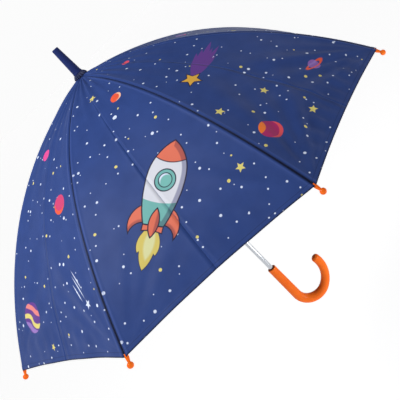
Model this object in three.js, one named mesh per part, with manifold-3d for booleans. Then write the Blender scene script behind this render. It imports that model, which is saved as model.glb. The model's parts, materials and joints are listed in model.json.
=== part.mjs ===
// Children's stick umbrella, shown open.
// Millimetres, +Z up along the stick towards the ferrule. The origin is the middle of the
// straight part of the grip, on the stick's axis, and the hook points along +X.
import * as THREE from 'three';
import { mergeVertices } from 'three/addons/utils/BufferGeometryUtils.js';
import Module from 'manifold-3d';

const wasm = await Module();
wasm.setup();

// ---------------------------------------------------------------- driving dimensions
const RIBS = 8;
const STEP = 2 * Math.PI / RIBS;            // angle between two ribs
const FIRST_RIB = -Math.PI + STEP / 2;      // a panel, not a rib, faces -Y
const CLEAR = 0.35;                         // running gap between two pieces

const CROWN_Z = 468;                        // where the canopy meets the stick
const RIB_REACH = 350;                      // stick axis to the canopy's corner
const DOME_DEPTH = 224.3;                   // crown down to the canopy's corner
const DOME_SQUARE = 0.323;                  // share of the depth that grows with r squared
const DOME_CUBE = 0.371;                    // share of the depth that grows with r cubed

const CANOPY_THICK = 0.8;
const CANOPY_HOLE = 5.2;                    // the canopy's round hole for the stick
const CANOPY_SAG = 0.008;                   // inward sag between ribs, as a share of the panel's width
const HEM_SCALLOP = 3;                      // how far the hem draws in midway between two ribs
const SEAM_GAP = 0.15;                      // half the gap between two neighbouring gores
const GORE_ROWS = 9;
const GORE_COLUMNS = 8;

const STICK_R = 4;
const STICK_WALL = 0.7;
const STICK_SIDES = 20;
const BORE_R = STICK_R + 0.4;               // bores that slide or fit over the stick
const STICK_ABOVE_CROWN = 30;               // inside the ferrule

const HINGE_R = 8.5;                        // rib hinge ring in the top notch
const HINGE_DROP = 6;                       // rib hinge below the crown
const RIB_WIDTH = 2;
const RIB_DROP = 3.1;                       // rib centreline below the canopy's surface
const RIB_HALF = 1.3;                       // half the rib's height at the crown end
const RIB_HALF_END = 0.8;                   // half the rib's height at its tip
const EYE_R = 2.2;
const EYE_HOLE_R = 0.95;
const WIRE_R = 0.55;
const RIB_START = 24;                       // radius where the rib's bar begins, beyond its eye
const RIB_STATIONS = 15;
const NOTCH_R = 11;                         // top notch, which holds the ribs' hinges
const NOTCH_HALF = 3;                       // half its height
const NOTCH_DROP = 6.6;                     // its middle, below the crown
const SLOT_MARGIN = 0.4;                    // a slot's bottom, clear of the eye that turns in it

const PIVOT_R = 165;                        // stretcher pivot, measured along the radius
const PIVOT_DROP = 6.2;                     // stretcher pivot below the canopy's surface
const LUG_R = 2.5;
const RIVET_R = 0.8;
const RIVET_HOLE_R = 1.15;
const RIVET_HEAD_R = 1.7;
const RIVET_HEAD = 0.6;

const STRETCHER_WIDTH = 1.6;
const STRETCHER_HALF = 1.2;
const STRETCHER_SIDE = RIB_WIDTH / 2 + CLEAR + STRETCHER_WIDTH / 2;   // it lies beside its rib

const RUNNER_DROP = 145;                    // stretcher seats below the crown, open
const RUNNER_SEAT_R = 11;
const RUNNER_CROWN_R = 13;
const RUNNER_CROWN_HALF = 3.2;
const RUNNER_SLEEVE_R = 7.9;
const RUNNER_LIP_R = 10;
const RUNNER_LIP = 4;                       // height of the sleeve's finger lip
const RUNNER_SLEEVE = 38;
const RUNNER_JOINT = 0.3;                   // gap between the runner's crown and its sleeve
const KEYWAY_DEPTH = 6.8;                   // from the stick's axis, clears both catches
const KEYWAY_WIDTH = 3.2;

const CATCH_WIDTH = 2.4;
const CATCH_HEIGHT = 11;
const CATCH_OUT = 6.2;                      // the catch's nose, from the stick's axis
const CATCH_IN = 2.4;
const OPEN_CATCH_DROP = 188.5;              // the open catch's shelf, below the crown
const SHUT_CATCH_DROP = 363;                // the shut catch's shelf, below the crown
const STOP_R = 1;                           // cross pin that stops the runner
const STOP_HALF = 5.6;                      // half the pin's length

const FERRULE_HEIGHT = 49;
const FERRULE_BASE_R = 7.3;
const FERRULE_END_R = 5;
const FERRULE_EDGE = 0.8;                   // rounding of the ferrule's two edges
const ROSETTE_R = 11;
const ROSETTE_HEIGHT = 4.4;
const ROSETTE_LIFT = 0.3;                   // above the canopy

const TIP_SLEEVE_R = 2.3;
const TIP_BALL_R = 3.8;
const TIP_BORE_R = 1.75;
const TIP_SLEEVE = 9;                       // sleeve length behind the ball's centre
const TIP_OVERLAP = 4;                      // how far the sleeve reaches back over the rib

const GRIP_TOP = 34.3;                      // top face of the grip, above the origin
const BEND_Z = -36.5;                       // where the grip starts to bend
// The hook's two arcs, one after the other: centreline radius and turn.
const HOOK_BENDS = [[28.5, 125 * Math.PI / 180], [52, 71 * Math.PI / 180]];
const HOOK_END = 5;                         // rounding radius of the hook's end
const STICK_IN_GRIP = 50;
// [length share, radius] along the grip
const GRIP_RADII = [[0, 7.5], [0.3, 8.0], [0.36, 8.2], [0.56, 8.9], [0.8, 7.5], [1, 7.3]];

const STRAP_RIB = 6;                        // the tie strap is sewn beside this rib
const STRAP_LENGTH = 92;
const STRAP_WIDTH = 14;
const STRAP_THICK = 0.7;
const STRAP_START = 215;                    // radius at which the strap is sewn on
const STRAP_SIDE = 12;                      // strap's centre from the seam
const STRAP_LIFT = 0.6;                     // clear of the canopy
const SNAP_R = 4.5;
const SNAP_HEIGHT = 1.4;
const SNAP_PLACE = 0.9;                     // along the strap
const SNAP_LIFT = 0.5;                      // clear of the strap

// ---------------------------------------------------------------- materials
function plastic(color, roughness) {
  return new THREE.MeshStandardMaterial({ color, roughness, metalness: 0 });
}
function metal(color, roughness) {
  return new THREE.MeshStandardMaterial({ color, roughness, metalness: 1 });
}
const navyFabric = () => plastic(0x3f5590, 0.75);
const navyPlastic = () => plastic(0x1c2436, 0.45);
const orangePlastic = () => plastic(0xf57a33, 0.3);
const blackPlastic = () => plastic(0x1b1c1f, 0.5);
const chrome = () => metal(0xd8dade, 0.15);
const ribSteel = () => metal(0x8f9297, 0.35);

// ---------------------------------------------------------------- helpers
const group = new THREE.Group();

function place(name, geometry, material, azimuth = 0) {
  const mesh = new THREE.Mesh(geometry, material);
  mesh.name = name;
  mesh.rotation.z = azimuth;
  group.add(mesh);
}

function toSolid(geometry) {
  const bare = geometry.clone();
  for (const name of Object.keys(bare.attributes)) {
    if (name !== 'position') bare.deleteAttribute(name);
  }
  const merged = mergeVertices(bare, 1e-4);
  return new wasm.Manifold(new wasm.Mesh({
    numProp: 3,
    vertProperties: new Float32Array(merged.attributes.position.array),
    triVerts: new Uint32Array(merged.index.array),
  }));
}

function toGeometry(solid) {
  const mesh = solid.getMesh();
  const geometry = new THREE.BufferGeometry();
  geometry.setAttribute('position', new THREE.BufferAttribute(mesh.vertProperties, 3));
  geometry.setIndex(new THREE.BufferAttribute(mesh.triVerts, 1));
  return geometry;
}

function cut(geometry, ...tools) {
  return toGeometry(tools.reduce((solid, tool) => solid.subtract(toSolid(tool)), toSolid(geometry)));
}

function join(geometry, ...others) {
  return toGeometry(others.reduce((solid, other) => solid.add(toSolid(other)), toSolid(geometry)));
}

// A turned piece about Z, from [radius, z] points that end on the axis or close on themselves.
function turned(points, sides) {
  const profile = points.map(([r, z]) => new THREE.Vector2(r, z));
  return new THREE.LatheGeometry(profile, sides).rotateX(Math.PI / 2);
}

function ring(inner, outer, low, high, sides) {
  return turned([[inner, low], [outer, low], [outer, high], [inner, high], [inner, low]], sides);
}

// A flat piece drawn in the [radius, z] plane, with its width across that plane.
function upright(shape, width, side = 0, curveSegments = 6) {
  const settings = { depth: width, bevelEnabled: false, curveSegments };
  return new THREE.ExtrudeGeometry(shape, settings)
    .translate(0, 0, -width / 2 - side)
    .rotateX(Math.PI / 2);
}

// A pin across the [radius, z] plane at a point, from one side to the other.
function pin(radius, point, from, to, sides = 12) {
  return new THREE.CylinderGeometry(radius, radius, to - from, sides)
    .translate(point.x, (from + to) / 2, point.y);
}

function block(low, high) {
  return new THREE.BoxGeometry(high[0] - low[0], high[1] - low[1], high[2] - low[2])
    .translate((low[0] + high[0]) / 2, (low[1] + high[1]) / 2, (low[2] + high[2]) / 2);
}

const ribAngle = k => FIRST_RIB + (k - 1) * STEP;
const ribNumbers = Array.from({ length: RIBS }, (_, i) => i + 1);

// ---------------------------------------------------------------- the dome
function domeZ(r) {
  const q = r / RIB_REACH;
  const linear = 1 - DOME_SQUARE - DOME_CUBE;
  return CROWN_Z - DOME_DEPTH * (linear * q + DOME_SQUARE * q * q + DOME_CUBE * q ** 3);
}

function domeSlope(r) {
  const q = r / RIB_REACH;
  const linear = 1 - DOME_SQUARE - DOME_CUBE;
  return -DOME_DEPTH / RIB_REACH * (linear + 2 * DOME_SQUARE * q + 3 * DOME_CUBE * q * q);
}

// The point at a depth under the dome, in the [radius, z] plane of a rib.
function underDome(r, drop) {
  const slope = domeSlope(r);
  const size = Math.hypot(slope, 1);
  return new THREE.Vector2(r + slope / size * drop, domeZ(r) - drop / size);
}

// The canopy at radius r of the nearest rib, where side runs from 0 at the rib to 1 midway
// to the next rib. The panel is straight from rib to rib but for its sag.
function canopyPoint(r, side, drop) {
  const share = Math.abs(side);
  const halfWidth = r * Math.sin(STEP / 2);
  const along = share * (halfWidth - SEAM_GAP);
  const slope = domeSlope(r);
  const size = Math.hypot(slope, 1);
  const sink = CANOPY_SAG * 2 * halfWidth * share * (2 - share);
  const inward = r * Math.cos(STEP / 2) + slope / size * sink;
  // towards the panel's middle from the rib, in the panel's own axes, then turned to the rib's
  const across = halfWidth - along;
  const x = inward * Math.cos(STEP / 2) + across * Math.sin(STEP / 2);
  const y = inward * Math.sin(STEP / 2) - across * Math.cos(STEP / 2);
  return new THREE.Vector3(x, Math.sign(side) * y, domeZ(r) - sink / size - drop);
}

function hemRadius(side) {
  const share = Math.abs(side);
  return RIB_REACH - HEM_SCALLOP * share * (2 - share);
}

function goreGeometry() {
  const box = new THREE.BoxGeometry(1, 1, 1, GORE_ROWS, GORE_COLUMNS, 1);
  const position = box.attributes.position;
  for (let i = 0; i < position.count; i++) {
    const along = position.getX(i) + 0.5;
    const side = 2 * position.getY(i);
    const drop = (0.5 - position.getZ(i)) * CANOPY_THICK;
    const r = CANOPY_HOLE + along * (hemRadius(side) - CANOPY_HOLE);
    const point = canopyPoint(r, side, drop);
    position.setXYZ(i, point.x, point.y, point.z);
  }
  return box;
}

// ---------------------------------------------------------------- ribs and stretchers
const hinge = new THREE.Vector2(HINGE_R, CROWN_Z - HINGE_DROP);
const pivot = underDome(PIVOT_R, PIVOT_DROP);
const seat = new THREE.Vector2(RUNNER_SEAT_R, CROWN_Z - RUNNER_DROP);
const stopPoint = new THREE.Vector2(0, seat.y + RUNNER_CROWN_HALF + RUNNER_JOINT + STOP_R);

function ribGeometry() {
  const lastStation = RIB_REACH - 1;
  const upper = [];
  const lower = [];
  for (let i = 0; i < RIB_STATIONS; i++) {
    const share = i / (RIB_STATIONS - 1);
    const r = RIB_START + share * (lastStation - RIB_START);
    const half = RIB_HALF + share * (RIB_HALF_END - RIB_HALF);
    upper.push(underDome(r, RIB_DROP - half));
    lower.push(underDome(r, RIB_DROP + half));
  }
  const away = underDome(RIB_START, RIB_DROP).sub(hinge).angle();
  const mouth = Math.asin(RIB_HALF / EYE_R);
  const shape = new THREE.Shape();
  shape.absarc(hinge.x, hinge.y, EYE_R, away + mouth, away - mouth + 2 * Math.PI, false);
  lower.forEach(p => shape.lineTo(p.x, p.y));
  upper.reverse().forEach(p => shape.lineTo(p.x, p.y));
  const lug = new THREE.Shape();
  lug.absarc(pivot.x, pivot.y, LUG_R, 0, 2 * Math.PI, false);
  const bar = join(upright(shape, RIB_WIDTH), upright(lug, RIB_WIDTH));
  return cut(
    bar,
    pin(EYE_HOLE_R, hinge, -RIB_WIDTH, RIB_WIDTH),
    pin(RIVET_HOLE_R, pivot, -RIB_WIDTH, RIB_WIDTH),
  );
}

function stretcherGeometry() {
  const outward = pivot.clone().sub(seat).angle();
  const mouth = Math.asin(STRETCHER_HALF / EYE_R);
  const shape = new THREE.Shape();
  shape.absarc(pivot.x, pivot.y, EYE_R, outward - Math.PI + mouth, outward + Math.PI - mouth, false);
  shape.absarc(seat.x, seat.y, EYE_R, outward + mouth, outward + 2 * Math.PI - mouth, false);
  for (const [centre, radius] of [[pivot, RIVET_HOLE_R], [seat, EYE_HOLE_R]]) {
    const hole = new THREE.Path();
    hole.absarc(centre.x, centre.y, radius, 0, 2 * Math.PI, true);
    shape.holes.push(hole);
  }
  return upright(shape, STRETCHER_WIDTH, STRETCHER_SIDE);
}

function rivetGeometry() {
  const low = -(RIB_WIDTH / 2 + CLEAR + RIVET_HEAD);
  const high = STRETCHER_SIDE + STRETCHER_WIDTH / 2 + CLEAR + RIVET_HEAD;
  const profile = [
    [0, low], [RIVET_HEAD_R, low], [RIVET_HEAD_R, low + RIVET_HEAD], [RIVET_R, low + RIVET_HEAD],
    [RIVET_R, high - RIVET_HEAD], [RIVET_HEAD_R, high - RIVET_HEAD], [RIVET_HEAD_R, high], [0, high],
  ].map(([r, y]) => new THREE.Vector2(r, y));
  return new THREE.LatheGeometry(profile, 12).translate(pivot.x, 0, pivot.y);
}

// Orange cap on a rib's end: a sleeve over the rib that ends in a ball.
function tipGeometry() {
  const shorter = Math.cos(Math.atan(domeSlope(RIB_REACH)));
  const base = underDome(RIB_REACH - TIP_OVERLAP * shorter, RIB_DROP);
  const direction = underDome(RIB_REACH, RIB_DROP).sub(base).normalize();
  const boreEnd = TIP_OVERLAP + CLEAR;
  const points = [[0, boreEnd], [TIP_BORE_R, boreEnd], [TIP_BORE_R, 0], [TIP_SLEEVE_R, 0]];
  const neck = Math.asin(TIP_SLEEVE_R / TIP_BALL_R);
  const steps = 7;
  for (let i = 0; i <= steps; i++) {
    const turn = Math.PI - neck - i / steps * (Math.PI - neck);
    const r = i === steps ? 0 : TIP_BALL_R * Math.sin(turn);
    points.push([r, TIP_OVERLAP + TIP_SLEEVE + TIP_BALL_R * Math.cos(turn)]);
  }
  const lean = Math.atan2(direction.x, direction.y);
  return turned(points, 14).rotateY(lean).translate(base.x, 0, base.y);
}

// ---------------------------------------------------------------- pieces on the stick
function stickGeometry() {
  const top = CROWN_Z + STICK_ABOVE_CROWN;
  const bottom = GRIP_TOP - STICK_IN_GRIP;
  const tube = ring(STICK_R - STICK_WALL, STICK_R, bottom, top, STICK_SIDES);
  const half = CATCH_WIDTH / 2 + CLEAR;
  const openings = [OPEN_CATCH_DROP + CATCH_HEIGHT, SHUT_CATCH_DROP].map(drop => {
    const low = CROWN_Z - drop;
    return block([-2 * STICK_R, -half, low - CLEAR], [0, half, low + CATCH_HEIGHT + CLEAR]);
  });
  return cut(tube, ...openings, pin(STOP_R + CLEAR, stopPoint, -2 * STICK_R, 2 * STICK_R));
}

// A spring catch: a shelf that the runner rests on, and a ramp that lets it be pressed in.
// The shut catch is the same piece the other way up.
function catchGeometry(drop, ramp) {
  const shelf = CROWN_Z - drop;
  const shape = new THREE.Shape();
  shape.moveTo(-CATCH_IN, shelf);
  shape.lineTo(-CATCH_OUT, shelf);
  shape.lineTo(-CATCH_OUT, shelf + ramp * 1.5);
  shape.lineTo(-STICK_R - 0.2, shelf + ramp * (CATCH_HEIGHT - 1));
  shape.lineTo(-CATCH_IN, shelf + ramp * CATCH_HEIGHT);
  return upright(shape, CATCH_WIDTH);
}

function topNotchGeometry() {
  const low = CROWN_Z - NOTCH_DROP - NOTCH_HALF;
  const high = CROWN_Z - NOTCH_DROP + NOTCH_HALF;
  const hub = ring(BORE_R, NOTCH_R, low, high, 32);
  const slots = ribNumbers.map(k => block(
    [HINGE_R - EYE_R - SLOT_MARGIN, -RIB_WIDTH / 2 - CLEAR, low - 1],
    [NOTCH_R + 1, RIB_WIDTH / 2 + CLEAR, high + 1],
  ).rotateZ(ribAngle(k)));
  const channel = new THREE.TorusGeometry(HINGE_R, WIRE_R + CLEAR, 6, 32).translate(0, 0, hinge.y);
  return cut(hub, ...slots, channel);
}

const keyway = (low, high) => block(
  [-KEYWAY_DEPTH, -KEYWAY_WIDTH / 2, low - 1],
  [0, KEYWAY_WIDTH / 2, high + 1],
);

function runnerCrownGeometry() {
  const low = seat.y - RUNNER_CROWN_HALF;
  const high = seat.y + RUNNER_CROWN_HALF;
  const flange = ring(BORE_R, RUNNER_CROWN_R, low, high, 2 * STICK_SIDES);
  const half = STRETCHER_WIDTH / 2 + CLEAR;
  const slots = ribNumbers.map(k => block(
    [RUNNER_SEAT_R - EYE_R - SLOT_MARGIN, STRETCHER_SIDE - half, low - 1],
    [RUNNER_CROWN_R + 1, STRETCHER_SIDE + half, high + 1],
  ).rotateZ(ribAngle(k)));
  return cut(flange, ...slots, keyway(low, high));
}

function runnerSleeveGeometry() {
  const high = seat.y - RUNNER_CROWN_HALF - RUNNER_JOINT;
  const low = high - RUNNER_SLEEVE;
  const lipTop = low + RUNNER_LIP;
  const sleeve = turned([
    [BORE_R, low], [RUNNER_LIP_R - 1, low], [RUNNER_LIP_R, low + 1], [RUNNER_LIP_R, lipTop - 1],
    [RUNNER_SLEEVE_R, lipTop + 1], [RUNNER_SLEEVE_R, high], [BORE_R, high], [BORE_R, low],
  ], STICK_SIDES);
  return cut(sleeve, keyway(low, high));
}

function ferruleGeometry() {
  const low = CROWN_Z + 2 * ROSETTE_LIFT + ROSETTE_HEIGHT;
  const high = CROWN_Z + FERRULE_HEIGHT;
  const boreEnd = CROWN_Z + STICK_ABOVE_CROWN + 1;
  return turned([
    [0, boreEnd], [BORE_R, boreEnd], [BORE_R, low], [FERRULE_BASE_R - FERRULE_EDGE, low],
    [FERRULE_BASE_R, low + FERRULE_EDGE], [FERRULE_END_R, high - FERRULE_EDGE],
    [FERRULE_END_R - FERRULE_EDGE, high], [0, high],
  ], 24);
}

// A disc of gathered fabric under the ferrule, as the outer shape of its gathers.
function rosetteGeometry() {
  const low = CROWN_Z + ROSETTE_LIFT;
  const high = low + ROSETTE_HEIGHT;
  return turned([
    [BORE_R, low], [ROSETTE_R - 1, low], [ROSETTE_R, low + 1], [ROSETTE_R - 1, high - 1],
    [FERRULE_BASE_R, high], [BORE_R, high], [BORE_R, low],
  ], 32);
}

// ---------------------------------------------------------------- the grip
class GripCurve extends THREE.Curve {
  constructor() {
    super();
    this.straight = GRIP_TOP - BEND_Z;
    this.total = HOOK_BENDS.reduce((sum, [radius, turn]) => sum + radius * turn, this.straight);
  }

  // Centre and direction at a length along the grip, both in the XZ plane.
  at(length) {
    const place = { x: 0, z: GRIP_TOP - Math.min(length, this.straight), dx: 0, dz: -1 };
    let heading = 0;
    let left = Math.max(0, length - this.straight);
    for (const [radius, turn] of HOOK_BENDS) {
      const next = heading + Math.min(left / radius, turn);
      place.x += radius * (Math.cos(heading) - Math.cos(next));
      place.z -= radius * (Math.sin(next) - Math.sin(heading));
      place.dx = Math.sin(next);
      place.dz = -Math.cos(next);
      left = Math.max(0, left - radius * turn);
      heading = next;
    }
    return place;
  }

  getPoint(t) {
    const { x, z } = this.at(t * this.total);
    return new THREE.Vector3(x, 0, z);
  }
}

function gripRadius(share) {
  const next = GRIP_RADII.findIndex(([s]) => s >= share);
  if (next <= 0) return GRIP_RADII[0][1];
  const [s0, r0] = GRIP_RADII[next - 1];
  const [s1, r1] = GRIP_RADII[next];
  return r0 + (r1 - r0) * (share - s0) / (s1 - s0);
}

function gripGeometry() {
  const curve = new GripCurve();
  const rows = 30;
  const round = 4;                          // rows that round the hook's end
  const body = new THREE.CylinderGeometry(1, 1, 1, 16, rows);
  const position = body.attributes.position;
  for (let i = 0; i < position.count; i++) {
    const row = Math.round((0.5 - position.getY(i)) * rows);
    const onSide = Math.hypot(position.getX(i), position.getZ(i)) > 0.5 ? 1 : 0;
    const past = Math.max(0, row - (rows - round)) / round;
    const plain = Math.min(row, rows - round) / (rows - round);
    const turn = past * Math.PI / 2;
    const length = plain * (curve.total - HOOK_END) + HOOK_END * Math.sin(turn);
    const radius = gripRadius(length / curve.total) - HOOK_END * (1 - Math.cos(turn));
    const { x, z, dx, dz } = curve.at(length);
    const angle = Math.atan2(position.getX(i), position.getZ(i));
    const away = onSide * radius * Math.cos(angle);
    const across = onSide * radius * Math.sin(angle);
    position.setXYZ(i, x - dz * away, across, z + dx * away);
  }
  const low = GRIP_TOP - STICK_IN_GRIP - 1;
  const socket = turned([[0, low], [BORE_R, low], [BORE_R, GRIP_TOP + 1], [0, GRIP_TOP + 1]], STICK_SIDES);
  return cut(body, socket);
}

// ---------------------------------------------------------------- the tie strap
// It lies on the outside of the canopy beside a seam, from its stitched end towards the hem.
function strapPoint(along, across, lift) {
  const r = STRAP_START + along * STRAP_LENGTH * Math.cos(Math.atan(domeSlope(STRAP_START)));
  const side = (STRAP_SIDE + across) / (r * Math.sin(STEP / 2));
  return canopyPoint(r, side, -lift);
}

function strapGeometry() {
  const box = new THREE.BoxGeometry(1, 1, 1, 8, 2, 1);
  const position = box.attributes.position;
  for (let i = 0; i < position.count; i++) {
    const along = position.getX(i) + 0.5;
    const across = position.getY(i) * STRAP_WIDTH;
    const lift = STRAP_LIFT + (position.getZ(i) + 0.5) * STRAP_THICK;
    const point = strapPoint(along, across, lift);
    position.setXYZ(i, point.x, point.y, point.z);
  }
  return box;
}

function snapGeometry() {
  const lift = STRAP_LIFT + STRAP_THICK + SNAP_LIFT;
  const here = strapPoint(SNAP_PLACE, 0, lift);
  const ahead = strapPoint(1, 0, lift);
  const beside = strapPoint(SNAP_PLACE, STRAP_WIDTH / 2, lift);
  const normal = ahead.sub(here).cross(beside.sub(here)).normalize();
  const button = turned([
    [0, 0], [SNAP_R, 0], [SNAP_R, SNAP_HEIGHT * 0.6], [SNAP_R * 0.7, SNAP_HEIGHT], [0, SNAP_HEIGHT],
  ], 16);
  const turnTo = new THREE.Quaternion().setFromUnitVectors(new THREE.Vector3(0, 0, 1), normal);
  return button.applyQuaternion(turnTo).translate(here.x, here.y, here.z);
}

// ---------------------------------------------------------------- assembly
place('shaft', stickGeometry(), chrome());
place('ferrule', ferruleGeometry(), navyPlastic());
place('crown_rosette', rosetteGeometry(), navyFabric());
place('top_notch', topNotchGeometry(), blackPlastic());
const notchWire = new THREE.TorusGeometry(HINGE_R, WIRE_R, 6, 32).translate(0, 0, hinge.y);
place('top_notch_wire', notchWire, ribSteel());
place('runner_crown', runnerCrownGeometry(), blackPlastic());
place('runner_sleeve', runnerSleeveGeometry(), blackPlastic());
place('runner_stop', pin(STOP_R, stopPoint, -STOP_HALF, STOP_HALF), ribSteel());
place('open_catch', catchGeometry(OPEN_CATCH_DROP, -1), ribSteel());
place('shut_catch', catchGeometry(SHUT_CATCH_DROP, 1), ribSteel());
place('grip', gripGeometry(), orangePlastic());

const rib = ribGeometry();
const stretcher = stretcherGeometry();
const rivet = rivetGeometry();
const tip = tipGeometry();
const gore = goreGeometry();
for (const k of ribNumbers) {
  place(`rib_${k}`, rib, ribSteel(), ribAngle(k));
  place(`stretcher_${k}`, stretcher, ribSteel(), ribAngle(k));
  place(`pivot_rivet_${k}`, rivet, chrome(), ribAngle(k));
  place(`rib_tip_${k}`, tip, orangePlastic(), ribAngle(k));
  place(`canopy_gore_${k}`, gore, navyFabric(), ribAngle(k));
}
place('tie_strap', strapGeometry(), navyFabric(), ribAngle(STRAP_RIB));
place('tie_snap', snapGeometry(), navyPlastic(), ribAngle(STRAP_RIB));

export default group;
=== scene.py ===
"""Children's stick umbrella with a printed canopy, open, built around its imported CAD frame.

Metres, +Z up along the stick. The origin is near the middle of the grip's straight part, the hook
points along +X, and ribs are numbered counter-clockwise from above. The print's designs are
laid out in millimetres on each panel, because that is how a cloth print is drawn.
"""
import json
import math

import bpy
import numpy as np
from mathutils import Matrix, Vector


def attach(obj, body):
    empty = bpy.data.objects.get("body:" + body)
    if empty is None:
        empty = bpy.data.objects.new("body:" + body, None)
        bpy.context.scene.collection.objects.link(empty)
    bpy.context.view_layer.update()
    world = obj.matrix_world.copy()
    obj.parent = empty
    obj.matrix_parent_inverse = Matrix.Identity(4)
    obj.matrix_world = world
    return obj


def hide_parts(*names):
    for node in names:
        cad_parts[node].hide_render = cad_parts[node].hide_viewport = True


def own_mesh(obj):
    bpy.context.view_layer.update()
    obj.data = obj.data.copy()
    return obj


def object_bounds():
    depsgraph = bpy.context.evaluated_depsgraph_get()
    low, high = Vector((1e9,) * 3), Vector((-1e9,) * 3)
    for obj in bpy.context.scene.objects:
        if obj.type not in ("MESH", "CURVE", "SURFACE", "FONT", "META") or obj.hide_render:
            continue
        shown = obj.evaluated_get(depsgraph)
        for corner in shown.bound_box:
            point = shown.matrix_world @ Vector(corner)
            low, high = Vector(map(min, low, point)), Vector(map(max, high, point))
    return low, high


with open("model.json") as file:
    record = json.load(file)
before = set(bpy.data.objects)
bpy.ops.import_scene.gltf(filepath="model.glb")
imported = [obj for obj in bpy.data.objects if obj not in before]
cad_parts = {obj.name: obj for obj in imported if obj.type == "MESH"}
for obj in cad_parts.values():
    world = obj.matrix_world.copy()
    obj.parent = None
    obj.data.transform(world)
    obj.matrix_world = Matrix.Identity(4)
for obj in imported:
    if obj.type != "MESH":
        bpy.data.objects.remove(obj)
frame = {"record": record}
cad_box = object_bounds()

MM = 0.001

# -------- dimensions of the frame
RIBS = 8
STEP = 2 * math.pi / RIBS  # angle between two ribs
HALF_SIN = math.sin(STEP / 2)
HALF_COS = math.cos(STEP / 2)
FIRST_RIB = -math.pi + STEP / 2
CROWN_Z = 0.468  # where the canopy meets the stick
RIB_REACH = 0.350  # stick axis to the canopy's corner
DOME_DEPTH = 0.2243
DOME_SQUARE = 0.323
DOME_CUBE = 0.371
DOME_LINEAR = 1 - DOME_SQUARE - DOME_CUBE
CANOPY_HOLE = 0.0052
CANOPY_SAG = 0.008
HEM_SCALLOP = 0.003
RIB_DROP = 0.0031  # rib's centreline below the canopy
RIB_HINGE = (0.0085, 0.462)  # radius and height of a rib's hinge
STICK_R = 0.004
FERRULE_BASE_R = 0.0073
FERRULE_END_R = 0.005
FERRULE_HEIGHT = 0.049
ROSETTE_R = 0.011
ROSETTE_HEIGHT = 0.0044
TIP_SLEEVE_R = 0.0023
TIP_BALL_R = 0.0038
TIP_SLEEVE = 0.009
TIP_OVERLAP = 0.004
GRIP_TOP = 0.0343
BEND_Z = -0.0365
HOOK_BENDS = ((0.0285, math.radians(125)), (0.052, math.radians(71)))
HOOK_END = 0.005
SOCKET_DEPTH = 0.004
GRIP_RIM = 0.0011  # rounding of the grip's top edge
GRIP_SIDES = 96
GRIP_SHARES = (0, 0.3, 0.36, 0.56, 0.8, 1)  # of its length, for each of its radii
GRIP_RADII = (0.0075, 0.0080, 0.0082, 0.0089, 0.0075, 0.0073)
STRAP_RIB = 6
STRAP_SIDE = 0.012
STRAP_START = 0.215
STRAP_LENGTH = 0.092
STRAP_WIDTH = 0.014
STRAP_THICK = 0.0007
STRAP_LIFT = 0.0006
SNAP_R = 0.0045
SNAP_HEIGHT = 0.0014
SNAP_PLACE = 0.9  # share of the strap's length
SNAP_SIDES = 48

RIB_TURN = math.radians(next(
    joint["range_deg"][1]
    for joint in frame["record"]["behaviour"]["joints"]
    if joint["name"] == "rib_hinge_1"
))


def rib_angle(k):
    return FIRST_RIB + (k - 1) * STEP


# -------- the canopy's surface
def dome_z(r):
    q = r / RIB_REACH
    return CROWN_Z - DOME_DEPTH * (DOME_LINEAR * q + DOME_SQUARE * q**2 + DOME_CUBE * q**3)


def dome_slope(r):
    q = r / RIB_REACH
    return -DOME_DEPTH / RIB_REACH * (DOME_LINEAR + 2 * DOME_SQUARE * q + 3 * DOME_CUBE * q**2)


def under_dome(r, drop):
    """Radius and height of the point at a depth under the dome."""
    slope = dome_slope(r)
    size = np.hypot(slope, 1)
    return r + slope / size * drop, dome_z(r) - drop / size


ARC_RADII = np.linspace(0, RIB_REACH, 801)
ARC_LENGTHS = np.concatenate([[0], np.cumsum(np.hypot(np.diff(ARC_RADII), np.diff(dome_z(ARC_RADII))))])


def arc_length(r):
    """Length of cloth from the crown down to radius r, along a rib."""
    return np.interp(r, ARC_RADII, ARC_LENGTHS)


def radius_at(length):
    return np.interp(length, ARC_LENGTHS, ARC_RADII)


def canopy_surface(r, side):
    """Points of the plain canopy beside a rib at azimuth 0. side is -1 or 1 midway to the next rib."""
    share = np.abs(side)
    half_width = r * HALF_SIN
    slope = dome_slope(r)
    size = np.hypot(slope, 1)
    sink = CANOPY_SAG * 2 * half_width * share * (2 - share)
    inward = r * HALF_COS + slope / size * sink
    across = half_width * (1 - share)
    x = inward * HALF_COS + across * HALF_SIN
    y = inward * HALF_SIN - across * HALF_COS
    return np.stack([x, np.sign(side) * y, dome_z(r) - sink / size], axis=-1)


def hem_radius(side):
    share = np.abs(side)
    return RIB_REACH - HEM_SCALLOP * share * (2 - share)


def surface_normals(points):
    """Outward normals of a grid of points whose rows run outwards and columns counter-clockwise."""
    down = np.gradient(points, axis=0)
    across = np.gradient(points, axis=1)
    normal = np.cross(down, across)
    return normal / np.linalg.norm(normal, axis=-1, keepdims=True)


# -------- the cloth's relief
TIP_LENGTH = arc_length(RIB_REACH) / MM  # crown to a corner of the panel
TIP_OFFSET = RIB_REACH * HALF_SIN / MM
HEM_BAND = 6.0  # width of the folded hem
FOLD_STRENGTH = (0.6, 0.35, 1.5, 0.8, 0.7, 1.0, 0.6, 0.9)


def bell(distance, width):
    return np.exp(-((distance / width) ** 2))


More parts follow.
